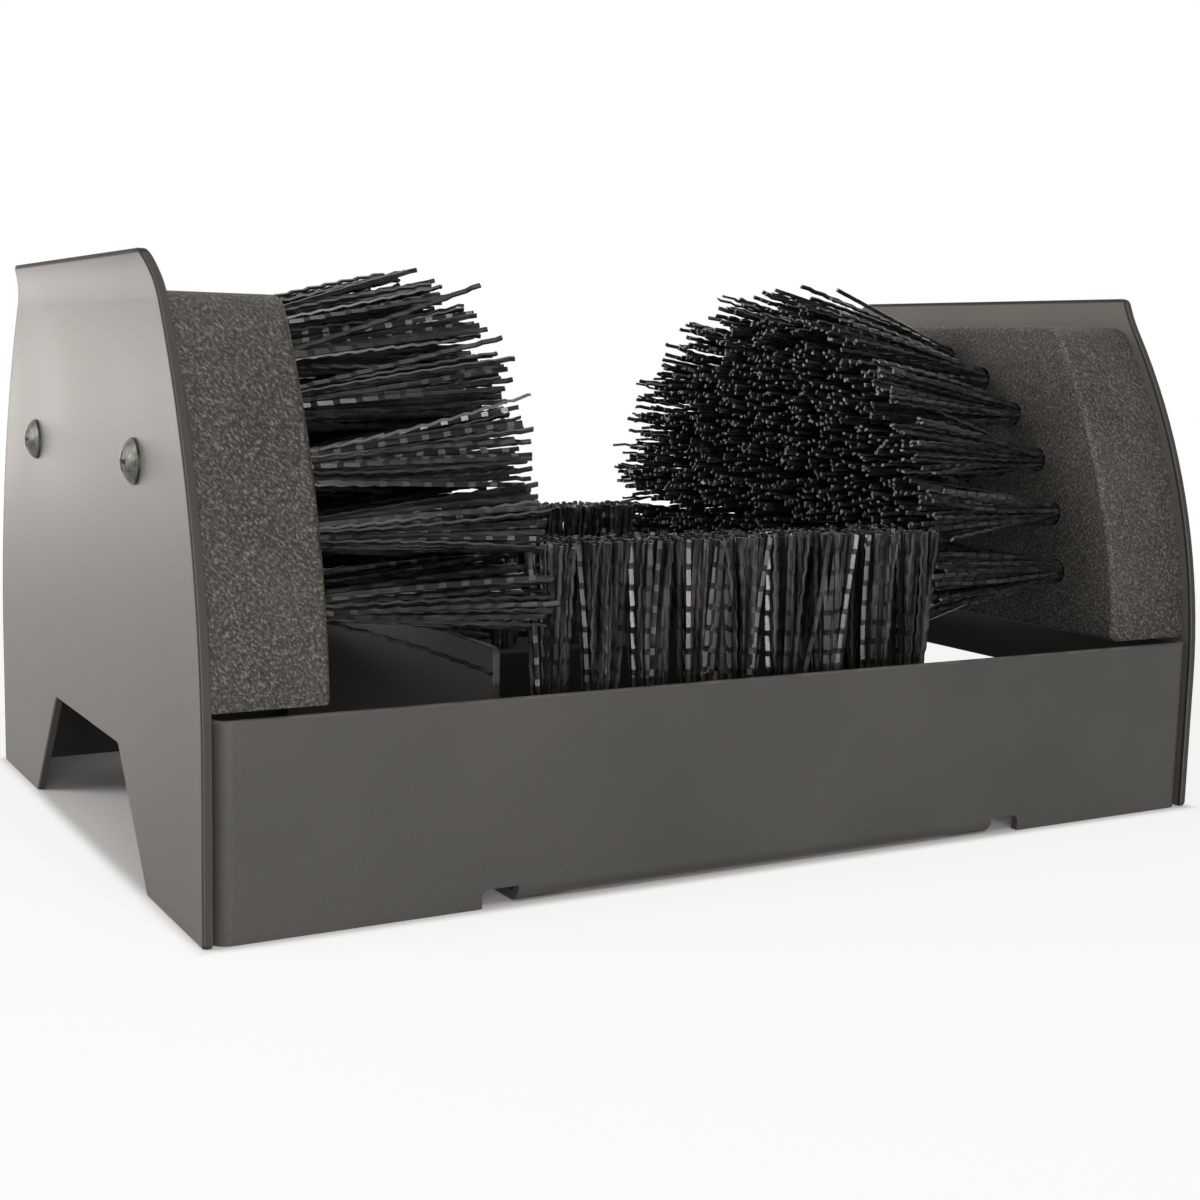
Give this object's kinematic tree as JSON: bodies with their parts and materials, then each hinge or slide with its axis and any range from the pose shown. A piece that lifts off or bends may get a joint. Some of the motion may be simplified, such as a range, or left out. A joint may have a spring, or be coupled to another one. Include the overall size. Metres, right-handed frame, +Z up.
{
  "type": "boot scrubber",
  "caption": "Boot scrubber: a bent sheet-steel stand with a stiff bristle brush at each side and two brush strips at the bottom, open at the base so that dirt falls through.",
  "frame": {"origin": "middle of the footprint, on the surface that the object stands on", "axes": "+X along the length, from the left end plate to the right one; +Y from the front rail to the rear rail; +Z up"},
  "size_m": [0.3368, 0.22, 0.165],
  "materials": {
    "powder_coat": "satin powder coat",
    "brush_block": "pebbled",
    "bristle": "crimped, glossy",
    "plated_screw": "dull zinc plate",
    "staple_wire": "flat wire"
  },
  "bodies": {
    "root": {"base_channel": "powder_coat", "front_strip_block": "brush_block", "front_strip_staples": "staple_wire", "front_strip_tufts_inner_row": "bristle", "front_strip_tufts_outer_row": "bristle", "left_brush_block": "brush_block", "left_brush_screws": "plated_screw", "left_brush_staples": "staple_wire", "left_brush_tufts_arch_1": "bristle", "left_brush_tufts_arch_2": "bristle", "left_brush_tufts_arch_3": "bristle", "left_brush_tufts_arch_4": "bristle", "left_brush_tufts_arch_5": "bristle", "left_end_plate": "powder_coat", "rear_strip_block": "brush_block", "rear_strip_staples": "staple_wire", "rear_strip_tufts_inner_row": "bristle", "rear_strip_tufts_outer_row": "bristle", "right_brush_block": "brush_block", "right_brush_screws": "plated_screw", "right_brush_staples": "staple_wire", "right_brush_tufts_arch_1": "bristle", "right_brush_tufts_arch_2": "bristle", "right_brush_tufts_arch_3": "bristle", "right_brush_tufts_arch_4": "bristle", "right_brush_tufts_arch_5": "bristle", "right_end_plate": "powder_coat", "strip_screws": "plated_screw"}
  },
  "joints": []
}
